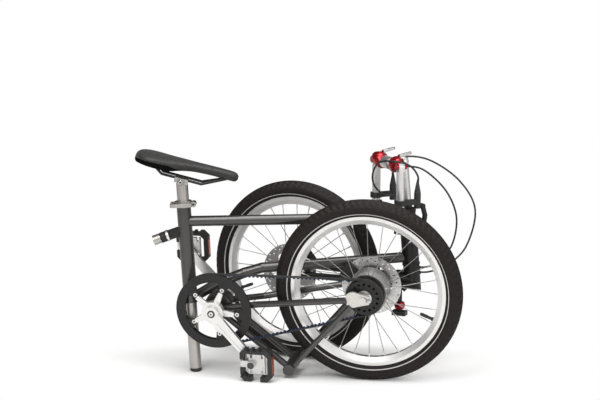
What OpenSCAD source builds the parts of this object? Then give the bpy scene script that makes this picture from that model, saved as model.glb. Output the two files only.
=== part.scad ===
// Folding bicycle, stored in its folded state.
// +X is the way the bicycle rides, +Y its left side, +Z up, and the floor is Z = 0.

/* [Wheels] */
// Outer diameter of both tyres
tyre_d = 500; // [480:1:520]
// Width of both tyres
tyre_w = 47; // [40:1:50]
// Diameter of the rim where the tyre sits
rim_d = 414; // [406:1:420]
// Spokes in each wheel
spoke_count = 28; // [20:4:32]
// Diameter of a spoke
spoke_d = 2; // [1.8:0.1:2.6]
// Diameter of the brake discs
rotor_d = 160; // [140:5:180]

/* [Main frame] */
// Outer diameter of the seat tube
seat_tube_d = 38; // [36:0.5:42]
// Diameter of the seat post
post_d = 31.6; // [30:0.1:32]
// Lean of the seat tube and the post
seat_lean = 3.5; // [2:0.1:5]
// Outer diameter of the top tube
top_tube_d = 28; // [24:0.5:32]
// Outer diameter of the lower tube
low_tube_d = 28; // [24:0.5:30]
// Outer diameter of the head tube
head_tube_d = 45; // [42:0.5:48]
// Lean of the head tube
steer_lean = 5; // [3:0.1:7]

/* [Rear swing arm] */
// Distance from the bottom bracket to the rear axle
stay_len = 415; // [405:1:425]
// Turn of the folded rear wheel away from the frame
swing_yaw = 14; // [13:0.5:16]
// Lean of the folded rear wheel away from the frame
swing_lean = 7; // [6:0.5:8]
// Angle through which the swing arm unfolds
rear_fold_angle = 183; // [178:1:186]
// Distance from the bottom bracket to the latch end of the arm
apex_len = 255; // [245:1:262]

/* [Drive] */
// Length of the cranks
crank_len = 170; // [160:1:175]
// Outer diameter of the front belt pulley
chainring_d = 202; // [190:1:206]
// Outer diameter of the rear belt pulley
sprocket_d = 94; // [88:1:98]
// Slope of the right crank below level
crank_slope = 49.5; // [44:0.5:55]

/* [Front end] */
// Distance from the fork hinge to the front axle
fork_len = 345; // [335:1:350]
// Turn of the folded front wheel away from the frame
fork_yaw = 25; // [24:0.5:30]
// Turn of the handlebar to the left
bar_yaw = 23; // [18:0.5:28]
// Length of each folding half of the handlebar
bar_len = 175; // [150:1:190]
// Diameter of the handlebar tube
bar_d = 22.2; // [22:0.1:25.4]

/* [Hidden] */
$fn = 64;

// Gaps: between faces that only pass each other, and around a turning shaft
gap = 0.3;
run = 0.05;
// Longer than any piece that a cut passes through
through = 600;

// Places of the pieces, from the middle of the box that the folded bicycle fills
mid_x = 17;
mid_y = 37;
tyre_r = tyre_d / 2;
rim_r = rim_d / 2;
ring_r = tyre_r - tyre_w / 2;
swing_n = [sin(swing_yaw) * cos(swing_lean), cos(swing_yaw) * cos(swing_lean), sin(swing_lean)];
stay_rise = 8.6;
bb_z = ring_r * cos(swing_lean) + tyre_w / 2 - stay_len * sin(stay_rise) * cos(swing_lean);
bb = [-217 - mid_x, -mid_y, bb_z];
seat_back = 66;
pivot_k = (swing_n + [0, 1, 0]) / norm(swing_n + [0, 1, 0]);
pivot_lean = asin(pivot_k.z);
pivot_yaw = asin(pivot_k.x / cos(pivot_lean));
hub_at = stay_len * [cos(stay_rise), 0, sin(stay_rise)];

// Lines of the main frame
seat_foot = bb + [-seat_back, 0, -bb_z];
seat_low = 193;
seat_high = 454;
post_low = 10;
post_high = seat_high + 64;
head_c = bb + [520, 0, tyre_r - bb_z];
head_low = 46;
head_high = 200;
top_join = seat_high - 40;
latch_join = seat_high - 62;
top_rear = seat_foot + [-top_join * tan(seat_lean), 0, top_join];
top_end = head_high - 26;
top_front = head_c + [-top_end * tan(steer_lean), 0, top_end];
low_path = [seat_foot + [-200 * tan(seat_lean), 0, 200], bb + [-6, 0, 57], bb + [67, 0, 86],
  bb + [115, 0, 100], head_c + [-4, 0, 67]];
drum_d = 58;
drum_half = 18;
shell_d = 42;
shell_half = 39;
lug_d = 76;

// The apex of the swing arm, and where it meets the latch when the arm is unfolded
apex_slope = 38.5;
apex_d = 32;
latch_gap = 1;
apex_at = apex_len * [cos(apex_slope), 0, -sin(apex_slope)];
apex_open = -apex_slope - rear_fold_angle;
latch_end = bb + apex_len * [cos(apex_open), 0, sin(apex_open)];
latch_root = seat_foot + [-latch_join * tan(seat_lean), 0, latch_join];
latch_v = latch_end - latch_root;
latch_len = norm(latch_v) - apex_d / 2 - latch_gap;
buffer_len = 24;
cap_len = 20;
stub_len = latch_len - buffer_len - cap_len;
clamp_h = 16;
ear_x = 28;

// Widths across the swing arm and the drive line, along the axle
belt_w = 11;
belt_t = 2.5;
// The lower rear of the front pulley passes outside the seat post
belt_clear = 0.5;
ring_shift = 7;
ring_edge = chainring_d / 2 + gap + belt_t;
post_back = seat_back + (bb_z - ring_edge) * tan(seat_lean) - ring_shift;
ring_drop = sqrt(pow(ring_edge, 2) - pow(post_back, 2));
post_side = post_d / 2 + post_back * sin(swing_yaw) + ring_drop * sin(swing_lean) * cos(swing_yaw);
belt_line = post_side / (cos(swing_lean) * cos(swing_yaw)) + belt_w / 2 + belt_clear;
stay_d = 17;
stay_gap = 1.5;
stay_in = belt_line - belt_w / 2 - stay_d / 2 - stay_gap;
stay_elbow = 118;
seat_stay_in = stay_in + 10;
seat_stay_d = 15;
drop_half = 72;
drop_t = 6;
drop_d = 42;
drop_back = 26;
arm_in = 68;
arm_t = 12;
axle_r = 6;
spindle_r = 12;
spindle_end = 60;
hub_half = 28;
hub_end = 40;
flange_t = 5;
rear_flange_r = 50;
front_flange_r = 27;
rear_hub_d = 90;
rear_hub_end = 58;
front_hub_d = 34;
front_hub_end = 47;
rim_w = 25;
rim_depth = 22;
valve_turn = 22;
rotor_at = 44;
rotor_t = 1.8;
caliper_r = 66;
ring_tabs = 5;
tab_turn = 28;
bolt_r = 65;
pedal_y = arm_in + arm_t;
pedal_w = 90;
fold_x = -26;

// The fork's slanted hinge lies in the frame's plane, midway between folded and unfolded
hinge_tilt = atan((cos(fork_yaw) + sin(steer_lean)) / cos(steer_lean));
crown_d = 44;
crown_low = 40;
bridge_t = 20;
bridge_gap = 29;
bridge_x = fork_len - tyre_r - bridge_gap - bridge_t;
leg_root = bridge_x + bridge_t;
crown_out = bridge_x + 6;
leg_half = 46;
leg_end = 56;
lock_x = bridge_x - 10;
lock_drop = 80;
steer_r = 14.3;
stem_d = 27;
slide_r = 11;

// Handlebar: the stem, the two folding clamps and the halves that hang from them
grip_len = 66;
grip_over = 3;
// The folded left grip hangs above the folded front tyre: its reach from the head, with a clearance
grip_reach = 142.8;
grip_rise = sqrt(pow(tyre_r, 2) - pow(fork_len - grip_reach, 2));
bar_z = tyre_r + grip_rise + bar_len + grip_over;
post_top = head_c + [-(bar_z - tyre_r) * tan(steer_lean), 0, bar_z - tyre_r];
stem_reach = 44;
bar_mid = post_top - stem_reach * [cos(bar_yaw), sin(bar_yaw), 0];
bar_half = 72;
lever_reach = 52;
band_z = -104;
knuckle_r = 9;
knuckle_half = 8;
knuckle_pin = 6;

// Saddle, on the post
saddle_pitch = 15;
saddle_z = post_high + 10;
saddle_c = seat_foot + [-saddle_z * tan(seat_lean), 0, saddle_z];
rail_d = 7;
rail_half = 22;
saddle_tuck = 0.2;
saddle_crown = 0.45;
// Sections of the cushion from tail to nose: place, half width, height of the top, depth
saddle_rows = [[-139, 8, 58, 14], [-134, 30, 65, 26], [-122, 50, 70, 36], [-98, 66, 69, 40],
  [-60, 62, 65, 36], [-10, 40, 61, 30], [40, 25, 59, 27], [90, 20, 57, 25], [128, 17, 54, 24],
  [142, 10, 49, 16], [146, 3, 44, 6]];

// Hoses: from the levers and the shifter to ports on the steerer and on the stem
hose_d = 5;
port_d = 9;
port_x = head_tube_d / 2 + 1.8;
front_port_z = 22;
gear_port_z = 36;
stem_port_z = 240;
// A place in front of the steering axis, at a height along it
function on_steer(x, z) = head_c + [x * cos(steer_lean) - z * sin(steer_lean), 0,
  x * sin(steer_lean) + z * cos(steer_lean)];
front_hose_route = [[235, 31, 526], [236, 30, 552], [262, 16, 580], [330, 0, 574], [410, -10, 520],
  [454, -14, 440], [430, -20, 340], [376, -30, 290], on_steer(port_x + 26, front_port_z),
  on_steer(port_x + gap, front_port_z)];
rear_hose_route = [[291, -101, 526], [291, -104, 548], [268, -128, 578], [226, -132, 590], [190, -80, 578],
  [176, -40, 540], [184, -32, 506], [214, -35, 484], on_steer(-stem_d / 2 - gap, stem_port_z)];
gear_cable_route = [[240, -62, 560], [258, -62, 566], [310, -56, 556], [370, -50, 500], [400, -48, 430],
  [392, -44, 356], [358, -40, 304], on_steer(port_x + 20, gear_port_z),
  on_steer(port_x + gap, gear_port_z)];

module along(p, v) {
  translate(p) rotate([0, acos(v.z / norm(v)), atan2(v.y, v.x)]) children();
}
module rod(a, b, d) {
  along(a, b - a) cylinder(h = norm(b - a), d = d);
}
module taper(a, b, d1, d2) {
  along(a, b - a) cylinder(h = norm(b - a), d1 = d1, d2 = d2);
}
// A disc or a shaft on the local Y axis
module across(d, y0, y1) {
  translate([0, y1, 0]) rotate([90, 0, 0]) cylinder(h = y1 - y0, d = d);
}
// The same on the local X axis
module on_x(d, x0, x1) {
  translate([x0, 0, 0]) rotate([0, 90, 0]) cylinder(h = x1 - x0, d = d);
}
module in_swing() { translate(bb) rotate([swing_lean, 0, -swing_yaw]) children(); }
module in_rear_wheel() { in_swing() translate(hub_at) children(); }
module in_pivot() { translate(bb) rotate([pivot_lean, 0, -pivot_yaw]) children(); }
module in_seat() { translate(seat_foot) rotate([0, -seat_lean, 0]) children(); }
module in_steer() { translate(head_c) rotate([0, -steer_lean, 0]) children(); }
module in_hinge() { translate(head_c) rotate([0, 90 - hinge_tilt, 0]) children(); }
// Local X runs to the front axle and local Y to the side of the brake disc
module in_fork() { translate(head_c) rotate([0, 0, 180 - fork_yaw]) children(); }
module in_front_wheel() { in_fork() translate([fork_len, 0, 0]) children(); }
// Local X runs forward and local Y along the bar to its left end
module in_bar() { translate(bar_mid) rotate([0, 0, bar_yaw]) children(); }

// Shapes of a wheel, with the axle on the local Y axis
module ring_shape() {
  rotate([90, 0, 0]) rotate_extrude($fn = 128) children();
}
module tyre_shape() {
  ring_shape() difference() {
    translate([ring_r, 0]) circle(d = tyre_w);
    translate([rim_r - 60 + gap, -tyre_w]) square([60, 2 * tyre_w]);
  }
}
module rim_shape() {
  floor_w = 10;
  wall = 9;
  ring_shape() polygon([[rim_r - rim_depth, -floor_w / 2], [rim_r - rim_depth, floor_w / 2],
    [rim_r - wall, rim_w / 2], [rim_r, rim_w / 2], [rim_r, -rim_w / 2], [rim_r - wall, -rim_w / 2]]);
  rotate([0, valve_turn, 0]) {
    rod([rim_r - rim_depth + 1, 0, 0], [rim_r - rim_depth - 36, 0, 0], 6);
    rod([rim_r - rim_depth + 1, 0, 0], [rim_r - rim_depth - 4, 0, 0], 9);
  }
}
// Each spoke leaves its flange to one side, and neighbours lie on opposite faces of the flange
module spokes_shape(flange_r) {
  lead = 360 / spoke_count;
  spoke_end = rim_r - rim_depth - 0.2;
  flange_y = hub_half + flange_t / 2;
  lay = 1.4;
  for (i = [0 : spoke_count - 1]) {
    side = i % 2 == 0 ? 1 : -1;
    slant = i % 4 < 2 ? 1 : -1;
    a = i * lead;
    b = a + slant * 1.3 * lead * 27 / flange_r;
    rod([flange_r * cos(b), side * (flange_y + slant * lay), flange_r * sin(b)],
      [spoke_end * cos(a), side * 2.5, spoke_end * sin(a)], spoke_d);
  }
  for (side = [-1, 1]) {
    difference() {
      across(flange_r * 2 + 8, side * flange_y - flange_t / 2, side * flange_y + flange_t / 2);
      across(hub_end, -through, through);
    }
  }
}
module hub_shape(shell_d, end) {
  difference() {
    union() {
      across(shell_d, -hub_half, hub_half);
      across(hub_end, -end, end);
    }
    across(2 * (axle_r + run), -through, through);
  }
}
module rotor_shape() {
  vents = 20;
  windows = 6;
  rotor_r = rotor_d / 2;
  difference() {
    across(rotor_d, -rotor_t / 2, rotor_t / 2);
    across(hub_end + 0.1, -5, 5);
    for (i = [0 : vents - 1]) {
      for (row = [0, 1]) {
        rotate([0, (i + row / 2) * 360 / vents, 0]) translate([rotor_r - 5 - row * 7, 0, 0]) across(4, -5, 5);
      }
    }
    for (i = [0 : windows - 1]) {
      rotate([0, i * 360 / windows, 0]) translate([rotor_r - 36, 0, 0]) across(26, -5, 5);
    }
  }
}
// A caliper straddles its disc: the bridge lies outside the disc's edge
module caliper_shape() {
  edge = rotor_d / 2 - caliper_r;
  inner = 9.5;
  outer = 17.5;
  slot = 4.4;
  difference() {
    intersection() {
      translate([-24, -inner, -14]) cube([48, inner + outer, edge + 22]);
      translate([0, 0, -6]) across(62, -inner, outer);
    }
    translate([-40, -slot / 2, -40]) cube([80, slot, 41 + edge]);
  }
  for (x = [-11, 11]) {
    translate([x, 0, -2]) across(15, outer - 0.5, outer + 2.5);
  }
}

// Main frame
module seat_tube() {
  color("#4c4f52") difference() {
    in_seat() translate([0, 0, seat_low]) cylinder(h = seat_high - seat_low, d = seat_tube_d);
    in_seat() cylinder(h = through, d = post_d + 2 * run);
  }
}
module top_tube() {
  color("#4c4f52") difference() {
    rod(top_rear, top_front, top_tube_d);
    in_seat() cylinder(h = through, d = seat_tube_d);
    head_shell();
  }
}
module lower_tube() {
  web_w = 24;
  color("#4c4f52") difference() {
    union() {
      for (i = [0 : len(low_path) - 2]) {
        rod(low_path[i], low_path[i + 1], low_tube_d);
      }
      for (i = [1 : len(low_path) - 2]) {
        translate(low_path[i]) sphere(d = low_tube_d + 0.6);
      }
      in_pivot() across(lug_d, -drum_half, drum_half);
      translate(bb + [-web_w / 2 - 8, -9, 20]) cube([web_w, 18, 36]);
    }
    in_seat() cylinder(h = through, d = seat_tube_d);
    head_shell();
    in_pivot() across(drum_d + 2 * run, -through, through);
  }
}
module head_shell() {
  lip = 3;
  low_lip = 5;
  high_lip = 9;
  in_steer() {
    translate([0, 0, head_low]) cylinder(h = head_high - head_low, d = head_tube_d);
    translate([0, 0, head_low]) cylinder(h = low_lip, d = head_tube_d + lip);
    translate([0, 0, head_high - high_lip]) cylinder(h = high_lip, d = head_tube_d + lip);
  }
}
module head_tube() {
  color("#1c1d1f") difference() {
    head_shell();
    in_steer() cylinder(h = through, r = steer_r + run);
  }
}
module in_latch() { along(latch_root, latch_v) children(); }
module latch_stub() {
  color("#232425") difference() {
    in_latch() translate([-12, -12, 10]) cube([24, 24, stub_len - 10]);
    in_seat() cylinder(h = through, d = seat_tube_d);
  }
}
module latch_buffer() {
  color("#1a1a1a") in_latch() translate([0, 0, stub_len]) {
    cylinder(h = buffer_len, d = 26);
    for (i = [0 : 4]) {
      translate([0, 0, 2 + i * 4.5]) cylinder(h = 2.5, d = 29);
    }
  }
}
module latch_cap() {
  color("#c9cbcd") in_latch() translate([0, 0, stub_len + buffer_len])
    cylinder(h = cap_len, d = 27);
}
module seat_clamp() {
  color("#c9cbcd") in_seat() translate([0, 0, seat_high + gap]) {
    difference() {
      union() {
        cylinder(h = clamp_h, d = seat_tube_d + 8);
        translate([-ear_x - 6, -8, 2]) cube([ear_x, 16, clamp_h - 4]);
      }
      translate([0, 0, -1]) cylinder(h = 60, d = post_d + 2 * run);
      translate([-60, -1.5, -1]) cube([60, 3, 60]);
    }
    translate([-ear_x, 0, clamp_h / 2]) {
      across(5, -13.5, 14);
      across(11, 8.3, 14);
    }
  }
}
module seat_clamp_lever() {
  color("#d5d6d8") in_seat() translate([-ear_x, -21, seat_high + gap + 3]) {
    cylinder(h = clamp_h - 6, d = 14);
    translate([0, -10, 0]) cube([48, 6, clamp_h - 6]);
    translate([48, -7, 0]) cylinder(h = clamp_h - 6, d = 9);
  }
}

// Seat post and saddle
module seat_post() {
  color("#cfd1d3") in_seat() translate([0, 0, post_low]) cylinder(h = post_high - post_low, d = post_d);
}
// The rubber foot is cut level with the floor
module post_foot() {
  plug_h = 14;
  color("#202020") difference() {
    in_seat() union() {
      translate([0, 0, 3]) cylinder(h = plug_h - 7, d = post_d);
      translate([0, 0, -4]) cylinder(h = 7.01, d1 = post_d - 12, d2 = post_d);
    }
    translate(seat_foot + [-50, -50, -20]) cube([100, 100, 20]);
  }
}
module in_saddle() { translate(saddle_c) rotate([0, saddle_pitch, 0]) children(); }
module saddle_head() {
  color("#cfd1d3") difference() {
    union() {
      in_saddle() translate([-18, -26, -8]) cube([36, 52, 14]);
      in_saddle() translate([0, 0, -4]) across(20, -31, 31);
    }
    in_seat() cylinder(h = post_high, d = post_d + 1);
    for (side = [-1, 1]) {
      in_saddle() translate([-60, side * rail_half, 4]) rotate([0, 90, 0]) cylinder(h = 120, d = rail_d);
    }
  }
}
module saddle_rails() {
  color("#1c1c1c") in_saddle() for (side = [-1, 1]) {
    rail(side, rail_d);
  }
}
module rail(side, d) {
  low = 4;
  translate([-55, side * rail_half, low]) rotate([0, 90, 0]) cylinder(h = 110, d = d);
  rod([-54, side * rail_half, low], [-92, side * 38, 33], d);
  rod([54, side * rail_half, low], [116, side * 9, 33], d);
}
// The cushion is lofted through sections whose crown is round and whose sides draw in below
module saddle() {
  sides = 24;
  rows = smooth(saddle_rows, 2);
  n = len(rows);
  points = [for (r = rows) for (k = [0 : sides - 1]) let (c = cos(k * 360 / sides), s = sin(k * 360 / sides))
    [r[0], r[1] * c * (s < 0 ? 1 + saddle_tuck * s : 1),
      r[2] + r[3] * (s < 0 ? (1 - saddle_crown) * s - saddle_crown : saddle_crown * (s - 1))]];
  color("#2a2a2c") in_saddle() difference() {
    polyhedron(points = points, faces = loft_faces(n, sides));
    for (side = [-1, 1]) {
      rail(side, rail_d + 2 * gap);
    }
  }
}

// Rear swing arm
module pivot_drum() {
  color("#3a3c3f") difference() {
    union() {
      in_pivot() across(drum_d, -drum_half - 10, drum_half + 10);
      in_pivot() across(lug_d - 4, drum_half + gap, drum_half + 10);
      in_pivot() across(lug_d - 4, -drum_half - 10, -drum_half - gap);
      in_swing() across(shell_d, -shell_half, shell_half);
    }
    in_swing() across(2 * (spindle_r + run), -through, through);
  }
}
// Each dropout is a pointed plate, round where the stays meet it, with a slot for the axle open to the rear
module dropout_plates() {
  tine = 17;
  in_rear_wheel() for (side = [-1, 1]) {
    translate([0, side * drop_half + drop_t / 2, 0]) rotate([90, 0, 0]) linear_extrude(height = drop_t)
      difference() {
        union() {
          translate([-drop_back, 0]) circle(d = drop_d);
          polygon([[-drop_back, drop_d / 2], [tine, drop_d / 4], [tine, -drop_d / 4],
            [-drop_back, -drop_d / 2]]);
        }
        circle(r = axle_r + run);
        translate([0, -axle_r - run]) square([2 * tine, 2 * (axle_r + run)]);
      }
  }
}
module chain_stays() {
  color("#3a3c3f") difference() {
    in_swing() for (side = [-1, 1]) {
      elbow = [stay_elbow, side * stay_in, 18];
      rod([24, side * stay_in, 2], elbow, stay_d);
      translate(elbow) sphere(d = stay_d + 0.4);
      rod(elbow, hub_at + [-drop_back - 16, side * drop_half, -3], stay_d);
    }
    drum_cut();
    dropout_plates();
  }
}
module drum_cut() {
  in_pivot() across(lug_d - 4, -drum_half - 10, drum_half + 10);
  in_swing() across(shell_d, -shell_half, shell_half);
}
module front_stays() {
  color("#3a3c3f") difference() {
    in_swing() for (side = [-1, 1]) {
      front_stay(side);
    }
    drum_cut();
  }
}
module front_stay(side) {
  rod([20, side * stay_in, -16], apex_at + [-8, side * stay_in, 6], stay_d);
}
module seat_stays() {
  color("#3a3c3f") difference() {
    in_swing() for (side = [-1, 1]) {
      seat_stay(side);
    }
    dropout_plates();
  }
}
module seat_stay(side) {
  rod(apex_at + [15, side * seat_stay_in, 15], hub_at + [-drop_back - 6, side * drop_half, -18], seat_stay_d);
}
module apex_block() {
  color("#2b2c2e") difference() {
    in_swing() translate(apex_at) across(apex_d, -seat_stay_in - 8, seat_stay_in + 8);
    in_swing() for (side = [-1, 1]) {
      front_stay(side);
      seat_stay(side);
    }
  }
}
module dropouts() { color("#d9d6cc") dropout_plates(); }
module rear_axle() {
  nut = drop_half + drop_t / 2 + gap;
  color("#b9bbbd") in_rear_wheel() {
    across(2 * axle_r, -nut - 1, nut + 1);
    across(19, nut, nut + 5);
    across(19, -nut - 5, -nut);
  }
}
// Each end of the belt wraps its pulley, and two straight runs join them
module belt_wrap(r, from, sweep) {
  rotate([0, 0, from]) rotate_extrude(angle = sweep, $fn = 128)
    translate([r, -belt_w / 2]) square([belt_t, belt_w]);
}
module belt() {
  r1 = chainring_d / 2 + gap;
  r2 = sprocket_d / 2 + gap;
  turn = acos((r1 - r2) / stay_len);
  run_len = stay_len * sin(turn);
  color("#151515") in_swing() rotate([0, -stay_rise, 0]) translate([0, -belt_line, 0]) rotate([90, 0, 0]) {
    belt_wrap(r1, turn, 360 - 2 * turn);
    translate([stay_len, 0, 0]) belt_wrap(r2, -turn, 2 * turn);
    for (side = [0, 1]) {
      mirror([0, side, 0]) rotate([0, 0, turn]) translate([r1 + 0.1, -run_len - 1, -belt_w / 2])
        cube([belt_t - 0.2, run_len + 2, belt_w]);
    }
  }
}
module rear_caliper() {
  color("#1b1b1c") in_rear_wheel() {
    rotate([0, -60, 0]) translate([0, rotor_at, caliper_r]) caliper_shape();
    translate([-60, 0, 10]) across(12, 50, drop_half);
  }
}

// Cranks and pedals
// A crank arm narrows from its boss to the eye that holds the pedal's pin
module crank_shape(side) {
  slope = side < 0 ? crank_slope : crank_slope + 180;
  y0 = side < 0 ? -arm_in - arm_t : arm_in;
  boss_r = 19;
  eye_r = 13.5;
  flute = 2;
  skin = 0.6;
  rotate([0, slope, 0]) difference() {
    union() {
      across(2 * boss_r, y0, y0 + arm_t);
      translate([crank_len, 0, 0]) across(2 * eye_r, y0 + 0.2, y0 + arm_t - 0.2);
      translate([0, y0 + arm_t - skin, 0]) rotate([90, 0, 0]) linear_extrude(height = arm_t - 2 * skin)
        polygon([[0, boss_r - 4], [crank_len, eye_r - 2.5], [crank_len, 2.5 - eye_r], [0, 4 - boss_r]]);
      translate([crank_len, 0, 0])
        across(12, side < 0 ? y0 - 20 : y0 + 3, side < 0 ? y0 + 9 : y0 + arm_t + 20);
    }
    translate([0, side < 0 ? y0 + flute + skin : y0 + arm_t + 1, 0]) rotate([90, 0, 0])
      linear_extrude(height = flute + skin + 1) polygon([[30, 7], [140, 4], [140, -4], [30, -7]]);
  }
}
module crank_right() {
  color("#cfd1d3") in_swing() {
    crank_shape(-1);
    across(2 * spindle_r, -arm_in - 5, spindle_end);
    across(60, -arm_in - 2, -belt_line - 5.5);
    for (i = [0 : ring_tabs - 1]) {
      rotate([0, crank_slope + tab_turn + i * 360 / ring_tabs, 0]) translate([0, -belt_line - 7, 0])
        rotate([90, 0, 0]) linear_extrude(height = 6) polygon([[0, 12], [58, 6], [58, -6], [0, -12]]);
    }
  }
}
module crank_left() {
  color("#cfd1d3") in_swing() difference() {
    union() {
      crank_shape(1);
      across(34, 50, arm_in);
    }
    across(2 * (spindle_r + run), 0, spindle_end);
  }
}
// The ring's tabs reach inward to the arms of the crank
module chainring() {
  ring_in = chainring_d / 2 - 20;
  tab_t = 3;
  color("#17181a") in_swing() {
    difference() {
      union() {
        across(chainring_d, -belt_line - 7, -belt_line + 5.7);
        across(chainring_d + 7, -belt_line - 8.5, -belt_line - 6.3);
      }
      across(2 * ring_in, -through, 0);
    }
    for (i = [0 : ring_tabs - 1]) {
      rotate([0, crank_slope + tab_turn + i * 360 / ring_tabs, 0]) translate([0, tab_t - belt_line - 7, 0])
        rotate([90, 0, 0]) linear_extrude(height = tab_t) {
          polygon([[53, 8], [bolt_r, 9], [ring_in + 4, 17], [ring_in + 4, -17], [bolt_r, -9], [53, -8]]);
        }
    }
  }
}
module ring_bolts() {
  color("#d6d7d9") in_swing() for (i = [0 : ring_tabs - 1]) {
    rotate([0, crank_slope + tab_turn + i * 360 / ring_tabs, 0]) translate([bolt_r, 0, 0])
      across(11, -belt_line - 9, -belt_line - 7);
  }
}
module rear_sprocket() {
  holes = 16;
  color("#17181a") in_rear_wheel() difference() {
    union() {
      across(sprocket_d, -belt_line - 5.7, -belt_line + 6.3);
      across(sprocket_d + 7, -belt_line + 6.2, -belt_line + 8.2);
    }
    across(hub_end + 2 * run, -through, through);
    for (i = [0 : holes - 1]) {
      rotate([0, i * 360 / holes, 0]) translate([36, 0, 0]) across(7, -through, through);
    }
  }
}
// A pedal: its hub turns on the crank's pin, and the cage folds on a pin that stands on the hub
module in_pedal(side) {
  slope = side < 0 ? crank_slope : crank_slope + 180;
  in_swing() rotate([0, slope, 0]) translate([crank_len, 0, 0]) rotate([0, -slope, 0])
    mirror([0, side < 0 ? 1 : 0, 0]) children();
}
module pedal_hub_shape() {
  difference() {
    union() {
      across(22, pedal_y + gap, pedal_y + 24);
      translate([-8, pedal_y + 3, -27]) cube([44, 9, 54]);
      translate([fold_x - 4, pedal_y + 2, -9]) cube([-fold_x, 12, 18]);
      translate([fold_x, pedal_y + 8, -30]) cylinder(h = 60, d = 6);
    }
    across(12 + 2 * run, 0, pedal_y + 21);
    for (x = [-4, 26]) {
      for (z = [-27, 17]) {
        translate([x, pedal_y, z]) cube([6, 20, 10]);
      }
    }
  }
}
// The cage is an eight-sided frame, open at the foot, that folds on the hub's pin
module pedal_cage_shape() {
  bar = 12;
  chop = 14;
  half = pedal_w / 2;
  mid = fold_x - 6 + half;
  depth = 22;
  difference() {
    translate([mid, pedal_y + 2 + depth, 0]) rotate([90, 0, 0]) linear_extrude(height = depth) difference() {
      eight(half, chop);
      eight(half - bar, chop - 5);
      translate([-bar, -2 * half]) square([2 * bar, 2 * half]);
    }
    translate([fold_x - bar, pedal_y - 1, -bar]) cube([40, 40, 2 * bar]);
    translate([fold_x, pedal_y + 8, -34]) cylinder(h = 68, d = 6 + 2 * run);
    translate([fold_x - bar, pedal_y + 14.5, -33]) cube([18, 20, 66]);
    for (x = [0, 1, 2]) {
      translate([mid - 22 + 17 * x, pedal_y + 1, half - 5]) cube([10, 40, 10]);
    }
  }
}
module eight(half, chop) {
  polygon([[-half, half - chop], [chop - half, half], [half - chop, half], [half, half - chop],
    [half, chop - half], [half - chop, -half], [chop - half, -half], [-half, chop - half]]);
}
module pedal_hub_right() { color("#c9cbcd") in_pedal(-1) pedal_hub_shape(); }
module pedal_cage_right() { color("#1d1d1e") in_pedal(-1) pedal_cage_shape(); }
module pedal_hub_left() { color("#c9cbcd") in_pedal(1) pedal_hub_shape(); }
module pedal_cage_left() { color("#1d1d1e") in_pedal(1) pedal_cage_shape(); }

// Rear wheel
module rear_hub() { color("#d2d3d5") in_rear_wheel() hub_shape(rear_hub_d, rear_hub_end); }
module rear_spokes() { color("#d2d3d5") in_rear_wheel() spokes_shape(rear_flange_r); }
module rear_rim() { color("#d9dadb") in_rear_wheel() rim_shape(); }
module rear_tyre() { color("#1a1a1a") in_rear_wheel() tyre_shape(); }
module rear_rotor() { color("#c4c6c8") in_rear_wheel() translate([0, rotor_at, 0]) rotor_shape(); }

// Fork and front wheel
module steerer() {
  color("#2a2b2d") {
    difference() {
      in_steer() union() {
        translate([0, 0, -crown_low]) cylinder(h = crown_low + head_low - gap, d = crown_d);
        for (z = [front_port_z, gear_port_z]) {
          translate([0, 0, z]) on_x(port_d, 0, port_x);
        }
      }
      in_hinge() translate([-80, -80, -160 + gap / 2]) cube([160, 160, 160]);
    }
    in_steer() difference() {
      translate([0, 0, 20]) cylinder(h = head_high + 10 - 20, r = steer_r);
      translate([0, 0, head_low]) cylinder(h = through, r = slide_r + run);
    }
    in_hinge() translate([0, 0, -36]) cylinder(h = 44, d = 12);
  }
}
// A pull collar under the crown frees the fork
module fork_knob() {
  color("#a81e22") in_fork() translate([lock_x, 0, -lock_drop]) difference() {
    union() {
      cylinder(h = 9, d1 = 24, d2 = 31);
      translate([0, 0, 9]) cylinder(h = 9, d1 = 31, d2 = 25);
    }
    translate([0, 0, -1]) cylinder(h = 40, d = 13);
  }
}
module fork_crown() {
  pad = 38;
  color("#2a2b2d") difference() {
    in_fork() union() {
      on_x(crown_d, -crown_low, crown_out);
      translate([bridge_x, -leg_half - 12, -14]) cube([bridge_t, 2 * leg_half + 24, 28]);
      translate([lock_x, 0, -lock_drop - 6]) cylinder(h = lock_drop, d = 13);
      translate([lock_x - pad / 2, -11, -lock_drop - 18]) cube([pad, 22, 12.5]);
    }
    in_hinge() translate([-80, -80, -gap / 2]) cube([160, 160, 160]);
    in_hinge() translate([0, 0, -60]) cylinder(h = 90, d = 12 + 2 * run);
  }
}
module fork_leg_shape(side) {
  in_fork() difference() {
    union() {
      taper([leg_root, side * leg_half, 0], [fork_len - 12, side * leg_end, 0], 22, 15);
      translate([fork_len, 0, 0]) across(26, side * leg_end - 5, side * leg_end + 5);
    }
    translate([fork_len, 0, 0]) across(2 * axle_r, -through, through);
    translate([bridge_x, -through / 2, -50]) cube([bridge_t, through, 100]);
  }
}
module fork_leg_near() { color("#2a2b2d") fork_leg_shape(1); }
module fork_leg_far() { color("#2a2b2d") fork_leg_shape(-1); }
module front_axle() {
  color("#b9bbbd") in_front_wheel() {
    across(2 * axle_r, -64, 64);
    across(20, 61.3, 67);
    across(20, -67, -61.3);
  }
}
module front_caliper() {
  color("#1b1b1c") in_front_wheel() {
    rotate([0, -50, 0]) translate([0, rotor_at, caliper_r]) caliper_shape();
    translate([-58, 0, 14.6]) across(12, 46, rotor_at + 17);
  }
}
module front_hub() { color("#d2d3d5") in_front_wheel() hub_shape(front_hub_d, front_hub_end); }
module front_spokes() { color("#d2d3d5") in_front_wheel() spokes_shape(front_flange_r); }
module front_rim() { color("#d9dadb") in_front_wheel() rim_shape(); }
module front_tyre() { color("#1a1a1a") in_front_wheel() tyre_shape(); }
module front_rotor() { color("#c4c6c8") in_front_wheel() translate([0, rotor_at, 0]) rotor_shape(); }

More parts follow.
